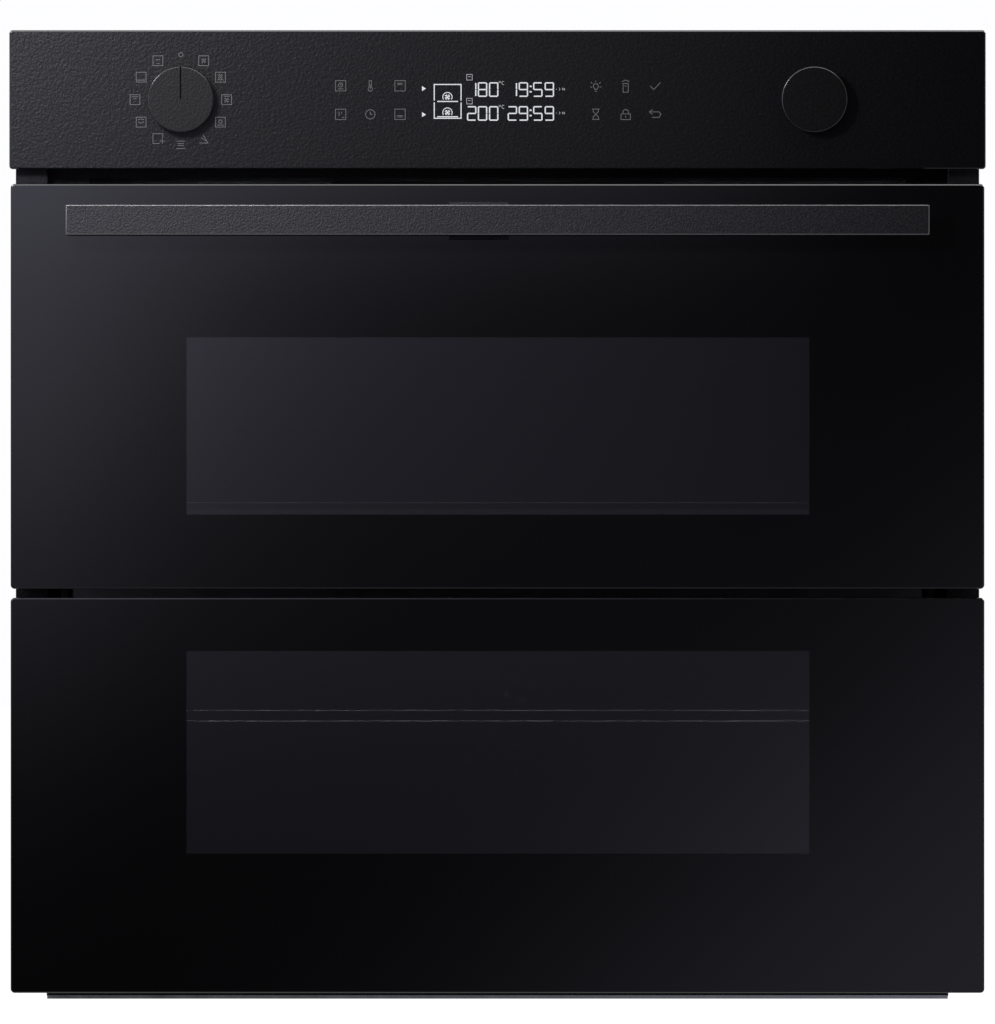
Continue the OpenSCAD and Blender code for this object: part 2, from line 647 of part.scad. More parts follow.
// Hollow bar with bevelled edges and a slot behind for the lever's tongue
module handle_bar() color([0.22, 0.22, 0.23]) difference() {
    low = handle_z - handle_h / 2;
    high = handle_z + handle_h / 2;
    bevel = 0.6;
    along_x([-handle_w / 2, handle_w / 2]) polygon([
        [bar_y[0] + bevel, low], [bar_y[1], low], [bar_y[1], high], [bar_y[0] + bevel, high],
        [bar_y[0], high - bevel], [bar_y[0], low + bevel]
    ]);
    wide(handle_w / 2 - 20, [bar_y[0] + 2, bar_y[1] - 2], [low + 2, high - 2]);
    block([lever_x[0] + 4, lever_x[1] - 4], [bar_y[1] - 3, bar_y[1] + 1], [handle_z - 4, handle_z + 4]);
}

// Stand-offs between the bar and the glass, drilled for the screws
module handle_posts() color([0.2, 0.2, 0.21]) for (x = [-post_x, post_x]) difference() {
    along_y([bar_y[1], glass_y]) rounded([x - 9, x + 9], [handle_z - 7, handle_z + 7], 3);
    rod_y(x, [glass_y - 18, glass_y + 1], handle_z, 2.6);
}

// Screws from inside the door through the glass into the posts
module handle_screws() color("silver") for (x = [-post_x, post_x]) {
    rod_y(x, [glass_y - 16, glass_back + 1], handle_z, 2.5);
    rod_y(x, [glass_back, glass_back + 3], handle_z, 5);
}

// Squeeze lever behind the bar: finger plate, lips, tongue and the head that keeps it in the bar
module handle_lever() color([0.22, 0.22, 0.23]) {
    plate_y = bar_y[1] + 6;
    low = handle_z - handle_h / 2 - 2.6;
    high = handle_z + handle_h / 2 + 1.7;
    block(lever_x, [plate_y, plate_y + 3], [low, high]);
    for (z = [low, high - 2]) block(lever_x, [plate_y - 1.4, plate_y + 1], [z, z + 2]);
    block([lever_x[0] + 7, lever_x[1] - 7], [bar_y[1] - 5, plate_y + 1], [handle_z - 2.5, handle_z + 2.5]);
    block([lever_x[0] + 1, lever_x[1] - 1], [bar_y[1] - 5, bar_y[1] - 3], [handle_z - 5, handle_z + 5]);
}

// Lock cases low in the upper door's sides, and the rods that lead to them from the handle
module door_locks() color("silver") both_sides() {
    block([246.8, 259.5], [1.5, 10], [275, 312]);
    rod_z(251, 6, [311, handle_z - 6], 1.5);
    block([249.5, 252.5], [-10, 7.5], [handle_z - 7, handle_z - 5]);
}

// ---- every part in its place ----

module placed() translate([0, origin_shift, 0]) children();

placed() base_pan();
placed() side_panel_left();
placed() side_panel_right();
placed() rear_panel();
placed() top_cover();
placed() casing_screws();
placed() front_frame();
placed() cavity_liner();
placed() insulation_blanket();
placed() cavity_gasket();
placed() divider_plate();
placed() divider_seal();
placed() fan_covers();
placed() fan_motors();
placed() ring_heaters();
placed() grill_element();
placed() floor_element();
placed() lamp_cover();
placed() lamp_holder();
placed() lamp_bulb();
placed() temperature_sensor();
placed() side_racks();
placed() baking_tray();
placed() wire_rack();
placed() upper_fan();
placed() lower_fan();
placed() exhaust_flue();
placed() air_duct();
placed() blower_housing();
placed() blower_rotor();
placed() blower_motor();
placed() power_board();
placed() terminal_block();
placed() cable_gland();
placed() panel_glass();
placed() panel_carrier();
placed() display_board();
placed() knob_encoders();
placed() mode_knob();
placed() value_knob();
placed() lower_hinges();
placed() hinge_springs();
placed() lower_outer_glass();
placed() lower_middle_glass();
placed() lower_inner_glass();
placed() lower_stiles();
placed() lower_top_rail();
placed() lower_bottom_rail();
placed() mid_hinges();
placed() upper_outer_glass();
placed() upper_middle_glass();
placed() upper_inner_glass();
placed() upper_stiles();
placed() upper_top_rail();
placed() upper_bottom_rail();
placed() handle_bar();
placed() handle_posts();
placed() handle_screws();
placed() handle_lever();
placed() door_locks();
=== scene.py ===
"""Looks of a built-in oven with a split door: materials, fine pieces, light and camera on the CAD frame."""
import math

import bmesh
import bpy
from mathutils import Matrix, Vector


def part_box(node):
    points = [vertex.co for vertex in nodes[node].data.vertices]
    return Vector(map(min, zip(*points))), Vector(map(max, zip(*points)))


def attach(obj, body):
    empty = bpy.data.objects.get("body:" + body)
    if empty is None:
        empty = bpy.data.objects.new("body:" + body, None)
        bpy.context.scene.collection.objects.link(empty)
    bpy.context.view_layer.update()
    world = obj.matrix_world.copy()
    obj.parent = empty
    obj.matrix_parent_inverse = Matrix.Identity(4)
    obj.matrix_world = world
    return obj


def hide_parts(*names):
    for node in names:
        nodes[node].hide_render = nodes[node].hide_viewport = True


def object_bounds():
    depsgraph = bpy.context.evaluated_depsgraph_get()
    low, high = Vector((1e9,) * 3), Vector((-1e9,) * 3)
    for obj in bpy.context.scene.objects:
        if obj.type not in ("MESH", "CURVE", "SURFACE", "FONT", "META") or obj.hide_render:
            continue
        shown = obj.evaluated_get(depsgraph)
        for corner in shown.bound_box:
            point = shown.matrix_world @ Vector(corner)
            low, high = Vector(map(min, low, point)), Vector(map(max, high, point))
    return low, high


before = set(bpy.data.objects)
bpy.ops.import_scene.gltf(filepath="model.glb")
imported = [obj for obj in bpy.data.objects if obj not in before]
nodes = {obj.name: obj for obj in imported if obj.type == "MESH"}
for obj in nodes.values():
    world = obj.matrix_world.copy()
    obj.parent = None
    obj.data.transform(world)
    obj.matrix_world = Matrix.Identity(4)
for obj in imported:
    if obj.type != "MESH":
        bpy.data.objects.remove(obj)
cad_low, cad_high = [Vector(corner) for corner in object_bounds()]
MM = 0.001

# ---------------------------------------------------------------- places, all from the frame

panel_low, panel_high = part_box("panel_glass")
upper_low, upper_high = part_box("upper_outer_glass")
lower_low, lower_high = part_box("lower_outer_glass")
FACE_Y = panel_low.y
GLASS_BACK = panel_high.y
BODY_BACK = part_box("rear_panel")[1].y
KNOB_Z = (panel_low.z + panel_high.z) / 2
KNOB_X = sum(c.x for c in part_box("value_knob")) / 2
KNOB_R = (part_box("value_knob")[1].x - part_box("value_knob")[0].x) / 2
FRONT_MID_Z = (lower_low.z + panel_high.z) / 2


# ---------------------------------------------------------------- materials

def wire(tree, start, socket, end, into):
    tree.links.new(start.outputs[socket], end.inputs[into])


def noise(tree, coords, scale, detail, stretch):
    """A noise texture in object coordinates. stretch makes it long along an axis."""
    node = tree.nodes.new("ShaderNodeTexNoise")
    node.inputs["Scale"].default_value = scale
    node.inputs["Detail"].default_value = detail
    if stretch:
        mapping = tree.nodes.new("ShaderNodeMapping")
        mapping.inputs["Scale"].default_value = stretch
        wire(tree, coords, "Object", mapping, "Vector")
        wire(tree, mapping, "Vector", node, "Vector")
    else:
        wire(tree, coords, "Object", node, "Vector")
    return node


def material(name, colour, rough, metal=0.0, vary=0.12, patch=40.0, grain=None, stretch=None,
             rough_vary=0.08, coat=0.0, coat_rough=0.03, through=0.0, glow=0.0, shine=0.5, solid=1.0):
    """Principled surface with uneven colour and roughness. grain is its bump's (scale, height in metres)."""
    made = bpy.data.materials.new(name)
    made.use_nodes = True
    tree = made.node_tree
    shader = tree.nodes["Principled BSDF"]
    coords = tree.nodes.new("ShaderNodeTexCoord")
    shader.inputs["Metallic"].default_value = metal
    shader.inputs["IOR"].default_value = 1.5
    shader.inputs["Coat Weight"].default_value = coat
    shader.inputs["Coat Roughness"].default_value = coat_rough
    shader.inputs["Transmission Weight"].default_value = through
    shader.inputs["Specular IOR Level"].default_value = shine
    shader.inputs["Alpha"].default_value = solid
    if glow:
        shader.inputs["Emission Color"].default_value = (*colour, 1)
        shader.inputs["Emission Strength"].default_value = glow
    patches = noise(tree, coords, patch, 4.0, stretch)
    if vary:
        tint = tree.nodes.new("ShaderNodeMix")
        tint.data_type = "RGBA"
        tint.inputs[6].default_value = (*[c * (1 - vary) for c in colour], 1)
        tint.inputs[7].default_value = (*[min(1, c * (1 + vary)) for c in colour], 1)
        wire(tree, patches, "Fac", tint, 0)
        tree.links.new(tint.outputs[2], shader.inputs["Base Color"])
    else:
        shader.inputs["Base Color"].default_value = (*colour, 1)
    if rough_vary:
        spread = tree.nodes.new("ShaderNodeMapRange")
        spread.inputs["To Min"].default_value = max(0.0, rough - rough_vary)
        spread.inputs["To Max"].default_value = min(1.0, rough + rough_vary)
        wire(tree, patches, "Fac", spread, "Value")
        wire(tree, spread, "Result", shader, "Roughness")
    else:
        shader.inputs["Roughness"].default_value = rough
    if grain:
        fine = noise(tree, coords, grain[0], 2.0, stretch)
        bump = tree.nodes.new("ShaderNodeBump")
        bump.inputs["Strength"].default_value = 1.0
        bump.inputs["Distance"].default_value = grain[1]
        wire(tree, fine, "Fac", bump, "Height")
        wire(tree, bump, "Normal", shader, "Normal")
    return made


M = {
    "door_black": material("door_black", (0.006, 0.0058, 0.0068), 0.3, coat=1.0, coat_rough=0.015,
                           vary=0.1, patch=9, rough_vary=0.05, shine=0.0),
    "glass_edge": material("glass_edge", (0.006, 0.0095, 0.0085), 0.1, vary=0.2, patch=300),
    "panel_black": material("panel_black", (0.0075, 0.0072, 0.009), 0.24, vary=0.5, patch=600,
                            grain=(620, 0.00009), rough_vary=0.05, shine=0.15),
    "window": material("window", (0.0275, 0.0258, 0.0355), 0.02, coat=1.0, coat_rough=0.01, vary=0.02,
                       patch=5, rough_vary=0.0, shine=0.5, solid=0.72),
    "clear_pane": material("clear_pane", (0.02, 0.024, 0.024), 0.02, vary=0.01, patch=5, rough_vary=0.0,
                           solid=0.14),
    "pane_print": material("pane_print", (0.006, 0.006, 0.007), 0.25, coat=1.0, coat_rough=0.02, patch=60),
    "anodised": material("anodised", (0.0165, 0.0158, 0.0205), 0.4, metal=0.3, vary=0.85, patch=950,
                         grain=(950, 0.0002), rough_vary=0.12, shine=0.28),
    # A much lighter copy of the anodised finish for the handle's eased edges: painted highlight.
    "edge_painted_highlight": material("edge_painted_highlight", (0.2, 0.2, 0.208), 0.3, metal=0.5, vary=0.3, patch=900,
                            rough_vary=0.05),
    "knob_face": material("knob_face", (0.006, 0.006, 0.0068), 0.3, vary=0.4, patch=700,
                          grain=(620, 0.00007), rough_vary=0.06, shine=0.14),
    "knob_rim": material("knob_rim", (0.05, 0.05, 0.053), 0.2, metal=0.5, vary=0.2, patch=1200,
                         rough_vary=0.05),
    "coated_steel": material("coated_steel", (0.009, 0.0082, 0.0115), 0.45, vary=0.7, patch=700,
                             grain=(700, 0.0004), rough_vary=0.12, shine=0.12),
    # A lighter copy of coated_steel for the flange fronts and their rolled edges: painted light.
    "flange_painted_light": material("flange_painted_light", (0.024, 0.0225, 0.0285), 0.5, vary=0.6, patch=700,
                             grain=(700, 0.0004), rough_vary=0.12, shine=0.1),
    # Near-black for the floor of the knob's pointer cut: painted shade.
    "groove": material("groove", (0.001, 0.001, 0.001), 0.8, vary=0.2, patch=500, shine=0.05),
    "door_trim": material("door_trim", (0.008, 0.0078, 0.0095), 0.45, vary=0.2, patch=300,
                          grain=(900, 0.00005), shine=0.25),
    "galvanised": material("galvanised", (0.47, 0.48, 0.5), 0.42, metal=0.9, vary=0.16, patch=95,
                           grain=(260, 0.00003), rough_vary=0.14),
    "zinc": material("zinc", (0.5, 0.5, 0.52), 0.3, metal=1.0, vary=0.1, patch=300, grain=(900, 0.00002)),
    "enamel": material("enamel", (0.009, 0.0095, 0.012), 0.25, vary=0.7, patch=1500, coat=0.6,
                       grain=(60, 0.0001), rough_vary=0.1),
    "tray_enamel": material("tray_enamel", (0.012, 0.012, 0.015), 0.2, vary=0.8, patch=1800, coat=0.8,
                            grain=(50, 0.00012), rough_vary=0.08),
    "wool": material("wool", (0.62, 0.5, 0.26), 0.95, vary=0.4, patch=120, grain=(400, 0.0012),
                     rough_vary=0.04),
    "seal": material("seal", (0.012, 0.012, 0.012), 0.6, vary=0.25, patch=250, grain=(900, 0.00006)),
    "motor": material("motor", (0.11, 0.11, 0.12), 0.5, metal=0.5, vary=0.25, patch=200, grain=(500, 0.0001)),
    "heater": material("heater", (0.09, 0.085, 0.08), 0.45, metal=0.7, vary=0.4, patch=160,
                       grain=(700, 0.00005)),
    "clear": material("clear", (0.93, 0.95, 0.95), 0.03, through=1.0, vary=0.02, patch=20, rough_vary=0.02),
    "ceramic": material("ceramic", (0.66, 0.65, 0.61), 0.45, vary=0.1, patch=150, grain=(600, 0.00004)),
    "steel": material("steel", (0.3, 0.3, 0.31), 0.3, metal=1.0, vary=0.12, patch=60, stretch=(1, 12, 1),
                      grain=(500, 0.00001)),
    # Bright metal for the wire racks, also put on the tray's rolled rim as a painted highlight.
    "chrome_and_rim_highlight": material("chrome_and_rim_highlight", (0.5, 0.5, 0.52), 0.16, metal=1.0, vary=0.06, patch=200, rough_vary=0.05),
    "board": material("board", (0.015, 0.09, 0.035), 0.35, vary=0.5, patch=420, coat=0.5,
                      grain=(700, 0.00005)),
    "black_plastic": material("black_plastic", (0.012, 0.012, 0.013), 0.5, vary=0.2, patch=300,
                              grain=(1000, 0.00005)),
    # The printed symbols glow though they are only print: painted light on the grey print.
    "print_grey_painted_glow": material("print_grey_painted_glow", (0.1, 0.1, 0.106), 0.6, vary=0.12, patch=500, glow=0.6),
    "print_dim_painted_glow": material("print_dim_painted_glow", (0.06, 0.06, 0.064), 0.6, vary=0.12, patch=500, glow=1.0),
    "display_dim": material("display_dim", (0.15, 0.155, 0.16), 0.5, vary=0.0, rough_vary=0.0, glow=1.6),
    "display_white": material("display_white", (0.3, 0.31, 0.32), 0.5, vary=0.0, rough_vary=0.0, glow=1.75),
}

NODE_LOOK = {
    "galvanised": "base_pan side_panel_left side_panel_right rear_panel top_cover exhaust_flue air_duct "
                  "blower_housing",
    "zinc": "casing_screws lower_hinges handle_screws door_locks",
    "coated_steel": "front_frame",
    "enamel": "cavity_liner divider_plate fan_covers",
    "tray_enamel": "baking_tray",
    "wool": "insulation_blanket",
    "seal": "cavity_gasket divider_seal cable_gland",
    "motor": "fan_motors blower_motor",
    "heater": "ring_heaters grill_element floor_element",
    "clear": "lamp_cover lamp_bulb",
    "ceramic": "lamp_holder terminal_block",
    "steel": "temperature_sensor upper_fan lower_fan blower_rotor hinge_springs",
    "chrome_and_rim_highlight": "side_racks wire_rack",
    "board": "power_board display_board",
    "black_plastic": "panel_carrier knob_encoders",
    "panel_black": "panel_glass",
    "knob_face": "mode_knob value_knob",
    "anodised": "handle_bar handle_posts handle_lever",
    "door_black": "lower_outer_glass upper_outer_glass",
    "clear_pane": "lower_middle_glass lower_inner_glass upper_middle_glass upper_inner_glass",
    # mid_hinges take this dark finish rather than zinc so the gap between the doors stays dark: painted
    # shade.
    "door_trim": "mid_hinges lower_stiles lower_top_rail lower_bottom_rail upper_stiles upper_top_rail "
                 "upper_bottom_rail",
}
for look, names in NODE_LOOK.items():
    for name in names.split():
        mesh = nodes[name].data
        mesh.materials.clear()
        mesh.materials.append(M[look])
        for polygon in mesh.polygons:
            polygon.material_index = 0

# The front faces of the flanges beside the door get a lighter copy of the frame's textured paint than the
# recess behind it: painted light on the lit flanges against the shaded recess.
flanges = nodes["front_frame"].data
flanges.materials.append(M["flange_painted_light"])
FLANGE_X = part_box("upper_stiles")[1].x - 18 * MM
FLANGE_Y = GLASS_BACK + 25 * MM
for polygon in flanges.polygons:
    if polygon.normal.y < -0.9 and abs(polygon.center.x) > FLANGE_X and polygon.center.y < FLANGE_Y:
        polygon.material_index = 1


# ---------------------------------------------------------------- mesh tools

def piece(name, bm, looks, body, stands_for=(), crease=32):
    """Turns a bmesh into a piece that rides on a body. looks are its material names, by material index."""
    bmesh.ops.recalc_face_normals(bm, faces=bm.faces)
    mesh = bpy.data.meshes.new(name)
    bm.to_mesh(mesh)
    bm.free()
    for look in looks:
        mesh.materials.append(M[look])
    mesh.set_sharp_from_angle(angle=math.radians(crease))
    for polygon in mesh.polygons:
        polygon.use_smooth = max(abs(c) for c in polygon.normal) < 0.9999
    made = bpy.data.objects.new(name, mesh)
    bpy.context.scene.collection.objects.link(made)
    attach(made, body)
    if stands_for:
        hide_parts(*stands_for)
    return made


def rounded_rect(x, z, radius, inset=0.0, steps=6):
    """Points of a rectangle with round corners in X and Z, anticlockwise seen from the front."""
    x0, x1, z0, z1 = x[0] + inset, x[1] - inset, z[0] + inset, z[1] - inset
    r = max(radius - inset, 0.00005)
    corners = ((x1 - r, z0 + r, -90), (x1 - r, z1 - r, 0), (x0 + r, z1 - r, 90), (x0 + r, z0 + r, 180))
    points = []
    for cx, cz, start in corners:
        for i in range(steps + 1):
            angle = math.radians(start + 90 * i / steps)
            points.append((cx + r * math.cos(angle), cz + r * math.sin(angle)))
    return points


def circle(x, z, radius, steps=32):
    return [(x + radius * math.cos(2 * math.pi * i / steps), z + radius * math.sin(2 * math.pi * i / steps))
            for i in range(steps)]


def loop(bm, points, y):
    return [bm.verts.new((x, y, z)) for x, z in points]


def edges_of(bm, ring):
    """The edges round a ring of vertices, made where they are missing."""
    found = []
    for a, b in zip(ring, ring[1:] + ring[:1]):
        found.append(bm.edges.get((a, b)) or bm.edges.new((a, b)))
    return found


def wall(bm, ring_a, ring_b, index=0):
    """Faces between two rings of equally many vertices."""
    count = len(ring_a)
    for i in range(count):
        face = bm.faces.new((ring_a[i], ring_a[(i + 1) % count], ring_b[(i + 1) % count], ring_b[i]))
        face.material_index = index


def add_plate(bm, x, z, radius, y, bevel, holes=(), zones=(), edge_index=0):
    """A plate with round corners and bevelled edges. Holes go through, zones have another material."""
    steps = [(y[0], bevel), (y[0] + bevel * 0.3, bevel * 0.3), (y[0] + bevel, 0.0),
             (y[1] - bevel, 0.0), (y[1] - bevel * 0.3, bevel * 0.3), (y[1], bevel)]
    rings = [loop(bm, rounded_rect(x, z, radius, inset), depth) for depth, inset in steps]
    for a, b in zip(rings, rings[1:]):
        wall(bm, a, b, edge_index)
    caps = [[rings[0]], [rings[-1]]]
    for points in holes:
        front, back = loop(bm, points, y[0]), loop(bm, points, y[1])
        wall(bm, front, back)
        caps[0].append(front)
        caps[1].append(back)
    for points, zone_index in zones:
        for cap, depth in zip(caps, y):
            ring = loop(bm, points, depth)
            cap.append(ring)
            bm.faces.new(ring).material_index = zone_index
    for cap in caps:
        edges = [e for ring in cap for e in edges_of(bm, ring)]
        filled = bmesh.ops.triangle_fill(bm, edges=edges, use_beauty=True, use_dissolve=False)
        faces = [face for face in filled["geom"] if isinstance(face, bmesh.types.BMFace)]
        for face in faces:
            face.material_index = 0
        inner = [set(ring) for ring in cap[1:]]
        extra = [face for face in faces if any(set(face.verts) <= ring for ring in inner)]
        bmesh.ops.delete(bm, geom=extra, context="FACES_ONLY")


def add_box(bm, low, high, bevel=0.0, segments=2):
    """A box between two corners with rounded edges."""
    made = bmesh.ops.create_cube(bm, size=1.0)["verts"]
    low, high = Vector(low), Vector(high)
    for vert in made:
        vert.co = Vector([low[i] + (vert.co[i] + 0.5) * (high[i] - low[i]) for i in range(3)])
    if bevel:
        edges = list({e for v in made for e in v.link_edges})
        bmesh.ops.bevel(bm, geom=edges, offset=bevel, segments=segments, affect="EDGES", profile=0.5)


def add_lathe(bm, centre, profile, steps):
    """Turns (radius, distance) points about the line along Y through centre."""
    centre = Vector(centre)
    rings = []
    for radius, along in profile:
        ring = []
        for i in range(steps):
            a = 2 * math.pi * i / steps
            ring.append(bm.verts.new(centre + Vector((radius * math.cos(a), along, radius * math.sin(a)))))
        rings.append(ring)
    for a, b in zip(rings, rings[1:]):
        wall(bm, a, b)
    for ring in (rings[0], rings[-1]):
        bm.faces.new(ring)


def add_rod(bm, start, end, radius, sides):
    """A round rod between two points."""
    start, end = Vector(start), Vector(end)
    along = (end - start).normalized()
    side = along.orthogonal().normalized()
    other = along.cross(side)
    turns = [2 * math.pi * k / sides for k in range(sides)]
    rings = [[bm.verts.new(point + radius * (side * math.cos(a) + other * math.sin(a))) for a in turns]
             for point in (start, end)]
    wall(bm, *rings)
    for ring in rings:
        bm.faces.new(ring)


PRINT = 0.06 * MM


def add_ribbon(bm, points, width, depth, closed=False, index=0):
    """A flat printed line in X and Z that stands a hair off the surface at depth."""
    points = [Vector(p) for p in points]
    count = len(points)
    left, right = [], []
    for i, point in enumerate(points):
        ahead = (points[(i + 1) % count] - point) if closed or i < count - 1 else None
        behind = (point - points[i - 1]) if closed or i > 0 else None
        ahead = ahead.normalized() if ahead is not None else behind.normalized()
        behind = behind.normalized() if behind is not None else ahead
        along = (ahead + behind)
        along = along.normalized() if along.length > 1e-6 else ahead
        across = Vector((-along.y, along.x))
        reach = width / 2 / max(0.35, across.dot(Vector((-ahead.y, ahead.x))))
        left.append(point + across * reach)
        right.append(point - across * reach)
    if not closed:
        for ends in (left, right):
            ends[0] = ends[0] - (points[1] - points[0]).normalized() * width * 0.25
            ends[-1] = ends[-1] + (points[-1] - points[-2]).normalized() * width * 0.25
    rows = [[bm.verts.new((p.x, y, p.y)) for p in line]
            for line, y in ((left, depth - PRINT), (right, depth - PRINT), (right, depth), (left, depth))]
    spans = range(count if closed else count - 1)
    for a, b in zip(rows, rows[1:] + rows[:1]):
        for i in spans:
            j = (i + 1) % count
            bm.faces.new((a[i], a[j], b[j], b[i])).material_index = index
    if not closed:
        for i in (0, -1):
            bm.faces.new([row[i] for row in rows]).material_index = index


def add_patch(bm, points, depth):
    """A filled printed shape in X and Z that stands a hair off the surface at depth."""
    front, back = loop(bm, points, depth - PRINT), loop(bm, points, depth)
    wall(bm, front, back)
    for ends in (front, back):
        bm.faces.new(ends)


def carve(made, low, high):
    """Cuts a box out of a piece."""
    cutter_bm = bmesh.new()
    add_box(cutter_bm, low, high)
    cutter_mesh = bpy.data.meshes.new("cutter")
    cutter_bm.to_mesh(cutter_mesh)
    cutter_bm.free()
    cutter = bpy.data.objects.new("cutter", cutter_mesh)
    bpy.context.scene.collection.objects.link(cutter)
    cut = made.modifiers.new("cut", "BOOLEAN")
    cut.object = cutter
    bpy.context.view_layer.update()
    done = bpy.data.meshes.new_from_object(made.evaluated_get(bpy.context.evaluated_depsgraph_get()))
    made.modifiers.clear()
    made.data = done
    bpy.data.objects.remove(cutter)


# ---------------------------------------------------------------- glass fronts

WINDOW_X = (-0.1895, 0.1900)
UPPER_WINDOW_Z = (upper_low.z + 45.3 * MM, upper_low.z + 153.3 * MM)
LOWER_WINDOW_Z = (lower_low.z + 84.9 * MM, lower_low.z + 208.4 * MM)
EDGE = 0.9 * MM


def door_front(name, low, high, window_z, body, stands_for, holes=()):
    """Outer glass: black print all over apart from the clear window."""
    bm = bmesh.new()
    window = rounded_rect(WINDOW_X, window_z, 0.0006)
    add_plate(bm, (low.x, high.x), (low.z, high.z), 0.0025, (low.y, high.y), EDGE, holes=holes,
              zones=[(window, 1)], edge_index=2)
    return piece(name, bm, ["door_black", "window", "glass_edge"], body, stands_for)


handle_low, handle_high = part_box("handle_bar")
HANDLE_Z = (handle_low.z + handle_high.z) / 2
POST_X = sum(c.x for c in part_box("handle_posts")) / 2 + 235 * MM
door_front("upper_front", upper_low, upper_high, UPPER_WINDOW_Z, "upper_door", ("upper_outer_glass",),
           holes=[circle(x, HANDLE_Z, 0.003) for x in (-POST_X, POST_X)])
door_front("lower_front", lower_low, lower_high, LOWER_WINDOW_Z, "lower_door", ("lower_outer_glass",))

bm = bmesh.new()
add_plate(bm, (panel_low.x, panel_high.x), (panel_low.z, panel_high.z), 0.002, (FACE_Y, GLASS_BACK), EDGE,
          holes=[circle(x, KNOB_Z, 0.005) for x in (-KNOB_X, KNOB_X)], edge_index=1)
piece("panel_front", bm, ["panel_black", "glass_edge"], "chassis", ("panel_glass",))


# ---------------------------------------------------------------- knobs

def knob(name, x, body, node, pointer):
    """Turned knob: flat grained face, narrow polished bevel, straight side, shaft behind."""
    low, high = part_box(node)
    front, gap = low.y, 0.8 * MM
    r = KNOB_R
    slot = 0.45 * MM
    bm = bmesh.new()
    profile = [(0.003, high.y), (0.003, FACE_Y - 6 * MM), (0.016, FACE_Y - 6 * MM), (0.016, FACE_Y - gap),
               (r - 0.2 * MM, FACE_Y - gap), (r, FACE_Y - gap - 0.2 * MM), (r, front + 0.75 * MM),
               (r - 0.12 * MM, front + 0.35 * MM), (r - 0.35 * MM, front + 0.1 * MM), (r - 0.7 * MM, front),
               (0.0004, front)]
    add_lathe(bm, (x, 0, KNOB_Z), profile, steps=160)
    for face in bm.faces:
        middle = face.calc_center_median() - Vector((x, 0, KNOB_Z))
        if middle.y < front + 0.7 * MM and math.hypot(middle.x, middle.z) > r - 0.7 * MM:
            face.material_index = 1
    made = piece(name, bm, ["knob_face", "knob_rim"], body, (node,), crease=40)
    if pointer:
        carve(made, (x - slot, front - MM, KNOB_Z), (x + slot, front + 0.7 * MM, KNOB_Z + r + MM))
        # A near-black strip fills the pointer's cut: painted shade inside the cut.
        bm = bmesh.new()
        add_box(bm, (x - slot, front + 0.35 * MM, KNOB_Z),
                (x + slot, front + 0.8 * MM, KNOB_Z + r - 0.3 * MM))
        piece("pointer_line", bm, ["groove"], body)


knob("mode_dial_body", -KNOB_X, "mode_dial", "mode_knob", True)
knob("value_dial_body", KNOB_X, "value_dial", "value_knob", False)


# ---------------------------------------------------------------- handle

def handle():
    """Bar with eased edges, hollow inside, with a slot behind for the lever's tongue."""
    lever_low, lever_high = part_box("handle_lever")
    bm = bmesh.new()
    add_box(bm, handle_low, handle_high, 0.6 * MM, 3)
    # The bevelled faces take the lighter edge finish: painted highlight along the bar's edges.
    for face in bm.faces:
        face.material_index = int(max(abs(c) for c in face.normal) < 0.999)
    made = piece("handle_grip", bm, ["anodised", "edge_painted_highlight"], "upper_door",
                 ("handle_bar",))
    carve(made, handle_low + Vector((0.02, 0.002, 0.002)), handle_high - Vector((0.02, 0.002, 0.002)))
    carve(made, (lever_low.x + 4 * MM, handle_high.y - 3 * MM, HANDLE_Z - 4 * MM),
          (lever_high.x - 4 * MM, handle_high.y + MM, HANDLE_Z + 4 * MM))


handle()

# Rolled edges of the two mounting flanges, in the flanges' lighter copy of the paint: painted light
frame_low, frame_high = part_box("front_frame")
bm = bmesh.new()
for side in (-1, 1):
    for reach in (frame_high.x - 0.45 * MM, frame_high.x - 19.2 * MM):
        add_rod(bm, (side * reach, frame_low.y, frame_low.z + 14 * MM),
                (side * reach, frame_low.y, frame_high.z - MM), 0.45 * MM, 10)
piece("flange_edges", bm, ["flange_painted_light"], "chassis")


# ---------------------------------------------------------------- door linings, tray and casing

def inner_print(name, node, clear_z, body):
    """Black printed border on the cavity's side of an inner glass."""
    low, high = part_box(node)
    bm = bmesh.new()
    add_plate(bm, (low.x + MM, high.x - MM), (low.z + MM, high.z - MM), 0.004,
              (high.y, high.y + 0.08 * MM), 0.02 * MM, holes=[rounded_rect((-0.2, 0.2), clear_z, 0.012)])
    piece(name, bm, ["pane_print"], body)


inner_print("upper_border", "upper_inner_glass",
            (UPPER_WINDOW_Z[0] - 9 * MM, UPPER_WINDOW_Z[1] + 9 * MM), "upper_door")
inner_print("lower_border", "lower_inner_glass",
            (LOWER_WINDOW_Z[0] - 16 * MM, LOWER_WINDOW_Z[1] + 9 * MM), "lower_door")


def add_loft(bm, rings):
    """Joins rings of points in space into a closed skin with a cap on both ends."""
    rings = [[bm.verts.new(point) for point in ring] for ring in rings]
    for a, b in zip(rings, rings[1:]):
        wall(bm, a, b)
    for ring in (rings[0], rings[-1]):
        bm.faces.new(ring)


